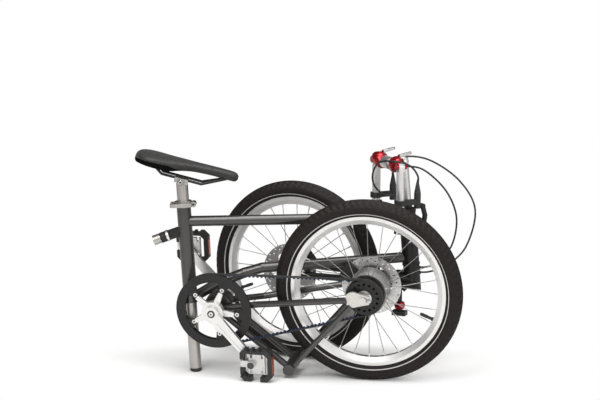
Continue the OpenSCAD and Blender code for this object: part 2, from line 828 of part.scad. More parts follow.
// Handlebar
module stem() {
  slide_low = 60;
  color("#d2d4d6") {
    in_steer() translate([0, 0, slide_low]) cylinder(h = head_high + 12 - slide_low, r = slide_r);
    in_steer() translate([0, 0, head_high + 11])
      cylinder(h = (bar_z - tyre_r) / cos(steer_lean) - head_high, d = stem_d);
    difference() {
      union() {
        rod(post_top, bar_mid, 24);
        translate(post_top) sphere(d = 29);
      }
      in_bar() across(bar_d, -through, through);
    }
    in_bar() across(bar_d, -bar_half + 18, bar_half - 18);
    in_bar() across(34, -18, 18);
  }
}
// A clamp is a rounded shell round the bar, with ears for the pin on which a half folds
module bar_clamps() {
  color("#b3262b") in_bar() for (side = [-1, 1]) {
    clamp_y = side * (bar_half - 24);
    difference() {
      hull() {
        translate([0, clamp_y, 3]) sphere(d = 42, $fn = 32);
        translate([-4, clamp_y + side * 14, 8]) sphere(d = 28, $fn = 32);
        translate([0, clamp_y - side * 10, -4]) sphere(d = 34, $fn = 32);
      }
      across(bar_d, -through, through);
      translate([-40, side > 0 ? bar_half - 15 : -bar_half - 45, -60]) cube([80, 60, 60]);
      translate([0, side * bar_half, 0]) on_x(2 * (knuckle_r + gap), -60, 60);
    }
    translate([0, side * bar_half, 0]) {
      on_x(2 * knuckle_r, knuckle_half + gap, knuckle_half + 7);
      on_x(2 * knuckle_r, -knuckle_half - 7, -knuckle_half - gap);
      on_x(knuckle_pin, -knuckle_half - 6, knuckle_half + 6);
    }
    for (x = [-knuckle_half - 7, knuckle_half + gap]) {
      translate([x, side > 0 ? bar_half - 17 : -bar_half, -2]) cube([7 - gap, 17, 2 + knuckle_r]);
    }
    translate([6, clamp_y - 5, 20]) rotate([0, -12, 0]) linear_extrude(height = 6)
      polygon([[0, 0], [34, 2], [38, 5], [34, 8], [0, 10]]);
  }
}
module bar_half_shape(side) {
  in_bar() translate([0, side * bar_half, 0]) difference() {
    union() {
      translate([0, 0, -bar_len]) cylinder(h = bar_len - 14, d = bar_d);
      translate([-knuckle_half, -knuckle_half, -20]) cube([2 * knuckle_half, 2 * knuckle_half, 18]);
      on_x(2 * knuckle_r, -knuckle_half, knuckle_half);
    }
    on_x(knuckle_pin + 2 * run, -60, 60);
  }
}
module grip_shape(side) {
  in_bar() translate([0, side * bar_half, 0]) difference() {
    union() {
      translate([0, 0, -bar_len - grip_over]) cylinder(h = grip_len, d = 32);
      translate([0, 0, band_z]) cylinder(h = 14, d = bar_d + 10);
      translate([0, -7, band_z]) cube([lever_reach - 8, 14, 14]);
      translate([lever_reach - 2, 0, band_z - 10]) cylinder(h = 40, d = 18);
      translate([lever_reach - 2, 0, band_z + 30]) cylinder(h = 24, d1 = 18, d2 = 9);
    }
    translate([0, 0, -bar_len]) cylinder(h = bar_len + 60, d = bar_d);
  }
}
module brake_lever_shape(side) {
  in_bar() translate([lever_reach + 9, side * bar_half, band_z - 4]) {
    translate([4.5, 0, 0]) across(12, -6, 6);
    hull() {
      translate([4.5, 0, 0]) across(10, -5, 5);
      translate([12, 0, -26]) across(9, -6, 6);
    }
    hull() {
      translate([12, 0, -26]) across(9, -6, 6);
      translate([7, 0, -60]) sphere(d = 13, $fn = 24);
    }
  }
}
module bar_half_right() { color("#d2d4d6") bar_half_shape(-1); }
module grip_right() { color("#1b1b1b") grip_shape(-1); }
module brake_lever_right() { color("#18191a") brake_lever_shape(-1); }
module bar_half_left() { color("#d2d4d6") bar_half_shape(1); }
module grip_left() { color("#1b1b1b") grip_shape(1); }
module brake_lever_left() { color("#18191a") brake_lever_shape(1); }

// Hoses: a round tube swept along its route
function unit(v) = v / norm(v);
function tangent(p, i) = unit(p[min(i + 1, len(p) - 1)] - p[max(i - 1, 0)]);
function side_of(t) = unit(cross(t, abs(t.y) > 0.8 ? [1, 0, 0] : [0, 1, 0]));
function spline(p, i, t) = let (
    a = p[max(i - 1, 0)], b = p[i], c = p[i + 1], d = p[min(i + 2, len(p) - 1)])
  0.5 * (2 * b + (c - a) * t + (2 * a - 5 * b + 4 * c - d) * t * t + (3 * b - a - 3 * c + d) * t * t * t);
function smooth(p, steps) = [for (i = [0 : len(p) - 2]) for (s = [0 : steps - 1]) spline(p, i, s / steps),
  p[len(p) - 1]];
// Triangles between the rings of a loft, and over its two ends
function loft_faces(n, sides) = concat(
  [for (i = [0 : n - 2]) for (k = [0 : sides - 1]) let (a = i * sides + k, b = i * sides + (k + 1) % sides)
    each [[a, b, b + sides], [a, b + sides, a + sides]]],
  [for (k = [1 : sides - 2]) [0, k + 1, k]],
  [for (k = [1 : sides - 2]) (n - 1) * sides * [1, 1, 1] + [0, k, k + 1]]);
module hose_shape(route, d) {
  sides = 8;
  path = smooth(route, 3);
  rings = [for (i = [0 : len(path) - 1]) let (t = tangent(path, i), u = side_of(t), v = cross(t, u))
    for (k = [0 : sides - 1]) path[i] + d / 2 * (u * cos(k * 360 / sides) + v * sin(k * 360 / sides))];
  polyhedron(points = rings, faces = loft_faces(len(path), sides));
}
module front_hose() { color("#1a1a1a") hose_shape(front_hose_route, hose_d); }
module rear_hose() { color("#1a1a1a") hose_shape(rear_hose_route, hose_d); }
module gear_cable() { color("#1a1a1a") hose_shape(gear_cable_route, hose_d); }

seat_tube();
top_tube();
lower_tube();
head_tube();
latch_stub();
latch_buffer();
latch_cap();
seat_clamp();
seat_clamp_lever();
seat_post();
post_foot();
saddle_head();
saddle_rails();
saddle();
pivot_drum();
chain_stays();
front_stays();
seat_stays();
apex_block();
dropouts();
rear_axle();
belt();
rear_caliper();
crank_right();
crank_left();
chainring();
ring_bolts();
rear_sprocket();
pedal_hub_right();
pedal_cage_right();
pedal_hub_left();
pedal_cage_left();
rear_hub();
rear_spokes();
rear_rim();
rear_tyre();
rear_rotor();
steerer();
fork_knob();
fork_crown();
fork_leg_near();
fork_leg_far();
front_axle();
front_caliper();
front_hub();
front_spokes();
front_rim();
front_tyre();
front_rotor();
stem();
bar_clamps();
bar_half_right();
grip_right();
brake_lever_right();
bar_half_left();
grip_left();
brake_lever_left();
front_hose();
rear_hose();
gear_cable();
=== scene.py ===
import math

import bmesh
import bpy
from mathutils import Matrix, Vector


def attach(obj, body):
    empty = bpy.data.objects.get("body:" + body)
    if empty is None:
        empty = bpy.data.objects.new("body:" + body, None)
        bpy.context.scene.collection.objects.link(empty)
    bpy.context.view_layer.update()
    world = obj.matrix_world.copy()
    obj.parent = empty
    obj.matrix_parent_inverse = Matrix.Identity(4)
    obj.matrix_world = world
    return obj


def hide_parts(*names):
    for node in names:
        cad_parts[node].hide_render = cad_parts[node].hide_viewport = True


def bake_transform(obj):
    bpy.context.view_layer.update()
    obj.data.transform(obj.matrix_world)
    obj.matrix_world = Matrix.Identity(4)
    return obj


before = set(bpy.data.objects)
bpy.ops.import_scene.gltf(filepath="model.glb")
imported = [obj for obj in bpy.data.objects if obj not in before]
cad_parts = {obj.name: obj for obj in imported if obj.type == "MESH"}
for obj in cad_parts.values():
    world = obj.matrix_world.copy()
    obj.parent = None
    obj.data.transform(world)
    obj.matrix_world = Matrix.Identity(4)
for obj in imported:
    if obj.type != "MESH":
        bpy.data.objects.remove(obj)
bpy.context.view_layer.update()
scene = bpy.context.scene
MM = 0.001

# Sizes and places repeated from part.scad, in millimetres and degrees
TYRE_W = 47.0
TYRE_R = 250.0
RIM_R = 207.0
RING_R = TYRE_R - TYRE_W / 2
SWING_YAW, SWING_LEAN = 14.0, 7.0
STAY_LEN, STAY_RISE = 415.0, 8.6
SEAT_LEAN, STEER_LEAN = 3.5, 5.0
FORK_LEN, FORK_YAW = 345.0, 25.0
BAR_YAW = 23.0
BB = Vector((-234.0, -37.0, 186.707))
SEAT_FOOT = Vector((-300.0, -37.0, 0.0))
HEAD = Vector((286.0, -37.0, 250.0))
BAR_Z = 575.021
STEM_REACH = 44.0
BAR_HALF = 72.0
SADDLE_RISE, SADDLE_RUN, SADDLE_PITCH = 528, 530, 15.0
LATCH_ROOT = Vector((-323.976, -37.0, 392.0))
LATCH_WAY = Vector((-101.008, 0.0, -36.315))
STUB_LEN = 46.338
BELT_LINE, BELT_W, BELT_T = 48.528, 11.0, 2.5
RING_EDGE, SPROCKET_EDGE = 101.3, 47.3
CRANK_LEN, CRANK_SLOPE = 170.0, 49.5
CRANK_FACE = 80.0
BOLT_R, TAB_TURN, RING_TABS = 65.0, 28.0, 5
RIM_DEPTH, VALVE_TURN = 22.0, 22.0
SPOKES, FLANGE_Y, FLANGE_LAY = 28, 30.5, 1.4
REAR_FLANGE_R, FRONT_FLANGE_R = 50.0, 27.0
PEDAL_MID, PEDAL_HALF = 13.0, 45.0


def turn(axis, degrees):
    return Matrix.Rotation(math.radians(degrees), 4, axis)


def shift(x, y, z):
    return Matrix.Translation((x, y, z))


RISE = math.radians(STAY_RISE)
IN_SWING = Matrix.Translation(BB) @ turn("Z", -SWING_YAW) @ turn("X", SWING_LEAN)
IN_REAR_WHEEL = IN_SWING @ shift(STAY_LEN * math.cos(RISE), 0, STAY_LEN * math.sin(RISE))
IN_FORK = Matrix.Translation(HEAD) @ turn("Z", 180 - FORK_YAW)
IN_FRONT_WHEEL = IN_FORK @ shift(FORK_LEN, 0, 0)
POST_RISE = BAR_Z - TYRE_R
POST_TOP = HEAD + Vector((-POST_RISE * math.tan(math.radians(STEER_LEAN)), 0, POST_RISE))
BAR_MID = POST_TOP + turn("Z", BAR_YAW) @ Vector((-STEM_REACH, 0, 0))
IN_BAR = Matrix.Translation(BAR_MID) @ turn("Z", BAR_YAW)
SADDLE_C = SEAT_FOOT + Vector((-SADDLE_RUN * math.tan(math.radians(SEAT_LEAN)), 0, SADDLE_RISE))
IN_SADDLE = Matrix.Translation(SADDLE_C) @ turn("Y", SADDLE_PITCH)
LATCH_TURN = Vector((0, 1, 0)).rotation_difference(LATCH_WAY)
IN_LATCH = Matrix.Translation(LATCH_ROOT) @ LATCH_TURN.to_matrix().to_4x4()
SCALE = Matrix.Scale(MM, 4)
ORIGIN = Matrix.Identity(4)

# Materials: every colour, roughness and height comes from noise at the scale of the real surface
SHADE_SPAN = (0.32, 0.68)
ROUGH_SPAN = (0.3, 0.7)


def material(name, dark, light, metallic=0.0, rough=(0.3, 0.45), scale=60.0, bump=None, stretch=(1, 1, 1),
             detail=4.0, coat=0.0, sheen=0.0, specular=0.5):
    mat = bpy.data.materials.new(name)
    mat.use_nodes = True
    nodes = mat.node_tree.nodes
    links = mat.node_tree.links
    shader = nodes["Principled BSDF"]
    shader.inputs["Metallic"].default_value = metallic
    shader.inputs["Coat Weight"].default_value = coat
    shader.inputs["Sheen Weight"].default_value = sheen
    shader.inputs["Specular IOR Level"].default_value = specular
    where = nodes.new("ShaderNodeTexCoord")
    place = nodes.new("ShaderNodeMapping")
    place.inputs["Scale"].default_value = stretch
    links.new(where.outputs["Object"], place.inputs["Vector"])
    noise = nodes.new("ShaderNodeTexNoise")
    noise.inputs["Scale"].default_value = scale
    noise.inputs["Detail"].default_value = detail
    links.new(place.outputs["Vector"], noise.inputs["Vector"])
    ramp = nodes.new("ShaderNodeValToRGB")
    for stop, position, colour in zip(ramp.color_ramp.elements, SHADE_SPAN, (dark, light)):
        stop.position = position
        stop.color = (*colour, 1)
    links.new(noise.outputs["Fac"], ramp.inputs["Fac"])
    links.new(ramp.outputs["Color"], shader.inputs["Base Color"])
    spread = nodes.new("ShaderNodeMapRange")
    spread.inputs["From Min"].default_value = ROUGH_SPAN[0]
    spread.inputs["From Max"].default_value = ROUGH_SPAN[1]
    spread.inputs["To Min"].default_value = rough[0]
    spread.inputs["To Max"].default_value = rough[1]
    links.new(noise.outputs["Fac"], spread.inputs["Value"])
    links.new(spread.outputs["Result"], shader.inputs["Roughness"])
    if bump:
        kind, bump_scale, strength, height = bump
        grain = nodes.new("ShaderNodeTexVoronoi" if kind == "cells" else "ShaderNodeTexNoise")
        grain.inputs["Scale"].default_value = bump_scale
        links.new(where.outputs["Object"], grain.inputs["Vector"])
        relief = nodes.new("ShaderNodeBump")
        relief.inputs["Strength"].default_value = strength
        relief.inputs["Distance"].default_value = height
        links.new(grain.outputs["Distance" if kind == "cells" else "Fac"], relief.inputs["Height"])
        links.new(relief.outputs["Normal"], shader.inputs["Normal"])
    return mat


GRAPHITE = material("graphite_paint", (0.055, 0.0525, 0.051), (0.09, 0.0865, 0.084), 0.8, (0.28, 0.36), 900,
                    ("noise", 1400, 0.05, 0.0001), coat=0.3)
SILVER = material("polished_alloy", (0.7, 0.69, 0.675), (0.76, 0.75, 0.735), 0.92, (0.33, 0.37), 900)
RIM = material("rim_alloy", (0.7, 0.69, 0.675), (0.77, 0.76, 0.745), 1.0, (0.36, 0.42), 260,
               ("noise", 1800, 0.03, 0.0001))
BRUSHED = material("brushed_alloy", (0.52, 0.51, 0.5), (0.64, 0.63, 0.615), 0.95, (0.32, 0.4), 700,
                   ("noise", 1500, 0.06, 0.0001), (1, 8, 1))
# A darker copy of the polished alloy: the seat post's own satin tone, and painted shade on the latch cap and
# seat clamp, which face the key lamp
SATIN_SHADED = material("satin_alloy_painted_shade", (0.4, 0.38, 0.36), (0.46, 0.44, 0.415), 0.9, (0.34, 0.4), 700)
STEEL = material("disc_steel", (0.5, 0.49, 0.48), (0.6, 0.59, 0.58), 1.0, (0.32, 0.4), 900,
                 ("noise", 2000, 0.06, 0.0001))
SPOKE = material("spoke_steel", (0.24, 0.237, 0.233), (0.36, 0.355, 0.35), 1.0, (0.26, 0.36), 300)
BLACK = material("black_anodised", (0.011, 0.0105, 0.0105), (0.024, 0.023, 0.023), 0.5, (0.34, 0.46), 500,
                 ("noise", 1800, 0.08, 0.0001))
GLOSS = material("black_gloss", (0.008, 0.008, 0.008), (0.016, 0.0155, 0.0155), 0.0, (0.16, 0.26), 240,
                 coat=0.4)
RUBBER = material("black_rubber", (0.01, 0.0096, 0.0094), (0.02, 0.0192, 0.0188), 0.0, (0.55, 0.7), 320,
                  ("noise", 1200, 0.2, 0.0003))
TYRE = material("tyre_rubber", (0.0075, 0.0056, 0.0048), (0.015, 0.0116, 0.01), 0.0, (0.55, 0.7), 140,
                ("noise", 700, 0.25, 0.0004), specular=0.2)
STRIPE = material("reflective_stripe", (0.42, 0.41, 0.4), (0.56, 0.55, 0.54), 0.15, (0.3, 0.42), 500,
                  ("cells", 1200, 0.2, 0.0002))
RED = material("red_anodised", (0.27, 0.006, 0.012), (0.42, 0.012, 0.02), 0.7, (0.22, 0.3), 400,
               ("noise", 1500, 0.05, 0.0001), coat=0.25)
PLASTIC = material("black_plastic", (0.012, 0.0115, 0.0115), (0.024, 0.023, 0.023), 0.0, (0.42, 0.56), 380,
                   ("cells", 900, 0.12, 0.0002), specular=0.4)
COVER = material("saddle_cover", (0.012, 0.0112, 0.011), (0.021, 0.0196, 0.0192), 0.0, (0.46, 0.58), 220,
                 ("cells", 620, 0.25, 0.0003), sheen=0.1, specular=0.36)
FLANK = material("saddle_flank", (0.005, 0.0047, 0.0047), (0.009, 0.0085, 0.0085), 0.0, (0.4, 0.5), 200,
                 ("cells", 900, 0.1, 0.0002), specular=0.0)
NAVY = material("belt_tooth_facing", (0.008, 0.018, 0.045), (0.014, 0.03, 0.07), 0.0, (0.5, 0.62), 400,
                ("noise", 1200, 0.15, 0.0002), specular=0.3)
AMBER = material("amber_reflector", (0.2, 0.034, 0.008), (0.32, 0.06, 0.012), 0.0, (0.16, 0.26), 500,
                 ("cells", 420, 0.4, 0.0005), coat=0.5)
CAST = material("cast_alloy", (0.52, 0.505, 0.475), (0.62, 0.605, 0.57), 0.75, (0.34, 0.46), 240,
                ("noise", 900, 0.12, 0.0002))

LOOKS = {
    GRAPHITE: ["seat_tube", "top_tube", "lower_tube", "pivot_drum", "chain_stays", "front_stays", "seat_stays",
               "apex_block"],
    BLACK: ["head_tube", "latch_stub", "steerer", "fork_crown", "fork_leg_near", "fork_leg_far", "rear_caliper",
            "front_caliper", "chainring", "rear_sprocket", "saddle_rails", "brake_lever_right",
            "brake_lever_left"],
    SILVER: ["crank_right", "crank_left", "ring_bolts", "stem", "bar_half_right", "bar_half_left", "rear_hub",
             "front_hub"],
    # The darker alloy: the seat post's own tone, and painted shade on the parts that face the key lamp
    SATIN_SHADED: ["seat_post", "latch_cap", "seat_clamp", "seat_clamp_lever", "saddle_head"],
    RIM: ["rear_rim", "front_rim"],
    BRUSHED: ["pedal_hub_right", "pedal_hub_left", "rear_axle", "front_axle"],
    SPOKE: ["rear_spokes", "front_spokes"],
    STEEL: ["rear_rotor", "front_rotor"],
    CAST: ["dropouts"],
    RUBBER: ["latch_buffer", "post_foot", "belt", "grip_right", "grip_left"],
    TYRE: ["rear_tyre", "front_tyre"],
    RED: ["fork_knob", "bar_clamps"],
    PLASTIC: ["pedal_cage_right", "pedal_cage_left", "front_hose", "rear_hose", "gear_cable"],
    COVER: ["saddle"],
}
for look, names in LOOKS.items():
    for name in names:
        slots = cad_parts[name].data.materials
        slots.clear()
        slots.append(look)


# Mesh helpers: pieces are made in millimetres in a local frame, then put in place in metres
def piece(name, verts, faces, where, body, looks, face_looks=None, smooth=40):
    mesh = bpy.data.meshes.new(name)
    mesh.from_pydata([SCALE @ where @ Vector(v) for v in verts], [], faces)
    for look in looks:
        mesh.materials.append(look)
    if face_looks:
        for polygon, index in zip(mesh.polygons, face_looks):
            polygon.material_index = index
    bm = bmesh.new()
    bm.from_mesh(mesh)
    bmesh.ops.recalc_face_normals(bm, faces=bm.faces)
    bm.to_mesh(mesh)
    bm.free()
    mesh.polygons.foreach_set("use_smooth", [True] * len(mesh.polygons))
    mesh.set_sharp_from_angle(angle=math.radians(smooth))
    obj = bpy.data.objects.new(name, mesh)
    scene.collection.objects.link(obj)
    if body:
        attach(obj, body)
    return obj


def spin(profile, steps):
    """A closed ring about the local Y axis from (radius, y) points."""
    verts = []
    for i in range(steps):
        a = 2 * math.pi * i / steps
        verts += [(r * math.cos(a), y, r * math.sin(a)) for r, y in profile]
    n = len(profile)
    faces = [(i * n + k, i * n + (k + 1) % n, (i + 1) % steps * n + (k + 1) % n, (i + 1) % steps * n + k)
             for i in range(steps) for k in range(n)]
    return verts, faces


def tube(path, radius, sides=12):
    """A round tube along points, closed at both ends. radius is one number or one for each point."""
    verts, faces = [], []
    count = len(path)
    side = None
    for i, p in enumerate(path):
        ahead = (path[min(i + 1, count - 1)] - path[max(i - 1, 0)]).normalized()
        if side is None:
            side = ahead.orthogonal().normalized()
        side = (side - ahead * side.dot(ahead)).normalized()
        other = ahead.cross(side)
        r = radius[i] if isinstance(radius, list) else radius
        verts += [p + r * (side * math.cos(t) + other * math.sin(t))
                  for t in (2 * math.pi * k / sides for k in range(sides))]
    for i in range(count - 1):
        faces += [(i * sides + k, i * sides + (k + 1) % sides, (i + 1) * sides + (k + 1) % sides,
                   (i + 1) * sides + k) for k in range(sides)]
    faces += [tuple(range(sides)), tuple(range((count - 1) * sides, count * sides))]
    return verts, faces


def smooth_path(points, steps):
    """Catmull-Rom points through the route."""
    found = []
    last = len(points) - 1
    for i in range(last):
        a, b, c, d = (points[max(0, min(last, i + k))] for k in (-1, 0, 1, 2))
        for s in range(steps):
            t = s / steps
            found.append(0.5 * (2 * b + (c - a) * t + (2 * a - 5 * b + 4 * c - d) * t * t
                                + (3 * b - a - 3 * c + d) * t ** 3))
    found.append(points[last])
    return found


def joined(parts):
    """Several vertex and face lists as one."""
    verts, faces = [], []
    for v, f in parts:
        base = len(verts)
        verts += [Vector(p) for p in v]
        faces += [tuple(i + base for i in face) for face in f]
    return verts, faces


# Camera at the photograph's view, in metres, degrees and millimetres of lens
CAMERA_DISTANCE = 4.0
CAMERA_ELEVATION = 10.0
SENSOR_WIDTH, LENS = 36, 89.9
LOOK_AT = Vector((-0.017, -0.037, 0.4715))
camera = bpy.data.cameras.new("camera")
camera.sensor_width = SENSOR_WIDTH
camera.lens = LENS
eye = bpy.data.objects.new("camera", camera)
scene.collection.objects.link(eye)
high = math.radians(CAMERA_ELEVATION)
eye.location = LOOK_AT + CAMERA_DISTANCE * Vector((0, -math.cos(high), math.sin(high)))
eye.rotation_euler = (math.radians(90) - high, 0, 0)
scene.camera = eye

# Tyres: a round carcass with shoulder blocks cut into the tread and a reflective stripe above the rim.
# Places on the section are degrees from the middle of the tread
TREAD_BLOCKS, BLOCK_STEPS = 84, 4
GROOVE, CENTRE_SHARE = 2.4, 0.6
CENTRE_GROOVE, SHOULDER, SHOULDER_SPLIT = (8, 15), (20, 64), 46
STRIPE_BAND = (112, 119)
BEAD_GAP, SECTION_STEPS = 0.3, 48


def tyre_piece(name, node, where, body):
    steps = TREAD_BLOCKS * BLOCK_STEPS
    bead = math.degrees(math.acos((RIM_R + BEAD_GAP - RING_R) / (TYRE_W / 2)))
    profile = [-bead + i * 2 * bead / SECTION_STEPS for i in range(SECTION_STEPS + 1)]
    verts, faces, looks = [], [], []
    for i in range(steps):
        a = 2 * math.pi * i / steps
        for p in profile:
            q = abs(p)
            cut = 0.0
            lead = (i + (1 if q > SHOULDER_SPLIT else 0) + (2 if p < 0 else 0)) % BLOCK_STEPS
            if SHOULDER[0] < q < SHOULDER[1] and lead == 0:
                cut = GROOVE
            elif CENTRE_GROOVE[0] < q < CENTRE_GROOVE[1]:
                cut = GROOVE * CENTRE_SHARE
            r = TYRE_W / 2 - cut
            out = RING_R + r * math.cos(math.radians(p))
            verts.append((out * math.cos(a), r * math.sin(math.radians(p)), out * math.sin(a)))
    n = len(profile)
    for i in range(steps):
        for k in range(n):
            m = (k + 1) % n
            j = (i + 1) % steps
            faces.append((i * n + k, i * n + m, j * n + m, j * n + k))
            middle = abs(profile[k] + profile[m]) / 2
            looks.append(1 if STRIPE_BAND[0] < middle < STRIPE_BAND[1] and m else 0)
    obj = piece(name, verts, faces, where, body, [TYRE, STRIPE], looks, 30)
    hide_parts(node)


tyre_piece("tyre_rear", "rear_tyre", IN_REAR_WHEEL, "rear_wheel")
tyre_piece("tyre_front", "front_tyre", IN_FRONT_WHEEL, "front_wheel")

# Saddle: the cushion's crown and its deep drawn-in skirt, with a seam that falls from the tail to the waist.
# Each row is a place along the saddle, the half width, the height of the top and the depth
SADDLE_ROWS = [(-133, 14, 37, 15), (-129, 32, 44, 26), (-119, 50, 50, 34), (-98, 65, 53, 39),
               (-70, 62, 54, 41), (-40, 52, 54, 40), (-5, 39, 54.5, 31), (30, 28, 55, 26),
               (80, 21, 56, 25), (124, 18, 56, 26), (139, 13, 53, 22), (145, 6, 47, 10)]
ROW_STEPS, ROW_SIDES = 8, 72
CROWN_SHARE, SKIRT_SHARE = 0.45, 0.55
SADDLE_TUCK, SKIRT_POWER = 0.2, 0.45
SEAM_BACK, SEAM_FRONT = -45.0, 2.0
SEAM_TOP, SEAM_FALL = -0.05, 0.85
SEAM_WIDTH, SEAM_DEPTH, SEAM_MOST = 0.05, 0.05, 1.2
CHANNEL_WIDTH, CHANNEL_DEPTH = 0.16, 1.6
CHANNEL_BACK, CHANNEL_FRONT = -100, 70


def seam_at(x):
    """The seam's height on the section, from 0 at its widest point to -1 at the bottom."""
    return SEAM_TOP - SEAM_FALL * min(1, max(0, (x - SEAM_BACK) / (SEAM_FRONT - SEAM_BACK)))


def saddle_piece():
    rows = smooth_path([Vector(r) for r in SADDLE_ROWS], ROW_STEPS)
    sides = ROW_SIDES
    verts, faces, looks = [], [], []
    for x, half, top, depth in rows:
        seam = seam_at(x)
        for k in range(sides):
            t = 2 * math.pi * k / sides
            c, up = math.cos(t), math.sin(t)
            y = half * c
            if up < 0:
                y = half * math.copysign(abs(c) ** SKIRT_POWER, c) * (1 + SADDLE_TUCK * up)
            z = top + depth * ((SKIRT_SHARE if up < 0 else CROWN_SHARE) * up - CROWN_SHARE)
            fold = channel = 0
            if x < SEAM_FRONT:
                fold = math.exp(-((up - seam) / SEAM_WIDTH) ** 2) * min(SEAM_MOST, half * SEAM_DEPTH)
            if up > 0 and CHANNEL_BACK < x < CHANNEL_FRONT:
                channel = math.exp(-(c / CHANNEL_WIDTH) ** 2) * CHANNEL_DEPTH
            verts.append((x, y - math.copysign(fold, c), z - channel))
    n = len(rows)
    for i in range(n - 1):
        x = (rows[i][0] + rows[i + 1][0]) / 2
        seam = seam_at(x)
        for k in range(sides):
            m = (k + 1) % sides
            faces.append((i * sides + k, i * sides + m, (i + 1) * sides + m, (i + 1) * sides + k))
            up = math.sin(2 * math.pi * (k + 0.5) / sides)
            looks.append(1 if up < seam and x < SEAM_FRONT else 0)
    faces += [tuple(range(sides)), tuple(range((n - 1) * sides, n * sides))]
    looks += [1, 0]
    obj = piece("saddle_cushion", verts, faces, IN_SADDLE, "post", [COVER, FLANK], looks,
                smooth=60)
    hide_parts("saddle")


saddle_piece()

# Hoses: smooth tubes on the routes of the solids, with a tapered sleeve where one leaves a lever
HOSE_R = 2.5
REAR_ROUTE = [(291, -101, 526), (291, -104, 548), (268, -128, 578), (226, -132, 590), (190, -80, 578),
              (176, -40, 540), (184, -32, 506), (214, -35, 484), (251.3, -37, 487.9)]
FRONT_ROUTE = [(235, 31, 526), (236, 30, 552), (262, 16, 580), (330, 0, 574), (410, -10, 520), (454, -14, 440),
               (430, -20, 340), (376, -30, 290), (334.2, -37, 276.3), (308.6, -37, 274.1)]
GEAR_ROUTE = [(240, -62, 560), (258, -62, 566), (310, -56, 556), (370, -50, 500), (400, -48, 430),
              (392, -44, 356), (358, -40, 304), (327, -37, 289.7), (307.4, -37, 288)]
HOSE_STEPS, HOSE_SIDES = 10, 14
SLEEVE_STEPS, SLEEVE_WALL = 8, 1.6
BAR_POINT = 3


def hose_piece(name, path, node, sleeve):
    radius = [HOSE_R] * len(path)
    for i in range(sleeve):
        radius[i] = HOSE_R + SLEEVE_WALL * (1 - i / sleeve)
    verts, faces = tube(path, radius, HOSE_SIDES)
    obj = piece(name, verts, faces, ORIGIN, None, [PLASTIC], smooth=60)
    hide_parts(node)
    return obj


def lever_hose(name, node, route, lower):
    """A hose cut in two at its point over the bars, since it crosses two joints."""
    path = smooth_path([Vector(p) for p in route], HOSE_STEPS)
    cut = BAR_POINT * HOSE_STEPS
    upper = hose_piece(name + "_upper", path[:cut + 1], node, SLEEVE_STEPS)
    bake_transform(upper)
    rest = hose_piece(name + "_lower", path[cut:], node, 0)
    if lower:
        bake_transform(rest)
    else:
        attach(rest, "stem")


lever_hose("hose_rear", "rear_hose", REAR_ROUTE, None)
lever_hose("hose_front", "front_hose", FRONT_ROUTE, "steerer")
gear_path = smooth_path([Vector(p) for p in GEAR_ROUTE], HOSE_STEPS)
gear = hose_piece("cable_gear", gear_path, "gear_cable", SLEEVE_STEPS)
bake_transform(gear)


# Small round pieces: a disc, ring or bolt about a local Y axis, from (radius, y) points
def turned(name, profile, places, body, look, steps=32, smooth=35):
    parts = []
    for where in places:
        verts, faces = spin(profile, steps)
        parts.append(([where @ Vector(v) for v in verts], faces))
    verts, faces = joined(parts)
    piece(name, verts, faces, ORIGIN, body, [look], smooth=smooth)


def cap(radius, y0, y1, edge=0.5, bore=0.3):
    """The outline of a disc whose outer end, at y1, has a rounded edge."""
    step = math.copysign(edge, y1 - y0)
    return [(bore, y0), (radius, y0), (radius, y1 - step), (radius - edge, y1), (bore, y1)]


# Belt: a band round both pulleys with a shallow middle groove, and teeth on its two straight runs
BOX_FACES = [(0, 1, 2, 3), (4, 5, 6, 7), (0, 1, 5, 4), (1, 2, 6, 5), (2, 3, 7, 6), (3, 0, 4, 7)]
RING_STEPS, SPROCKET_STEPS = 48, 24
BELT_GROOVE = 0.8
TOOTH_PITCH, TOOTH_HEIGHT, TOOTH_SIDE = 11.0, 3.2, 0.3
TOOTH_ROOT, TOOTH_TIP = 3, 1.9
BARE_START, BARE_END = 3, 2


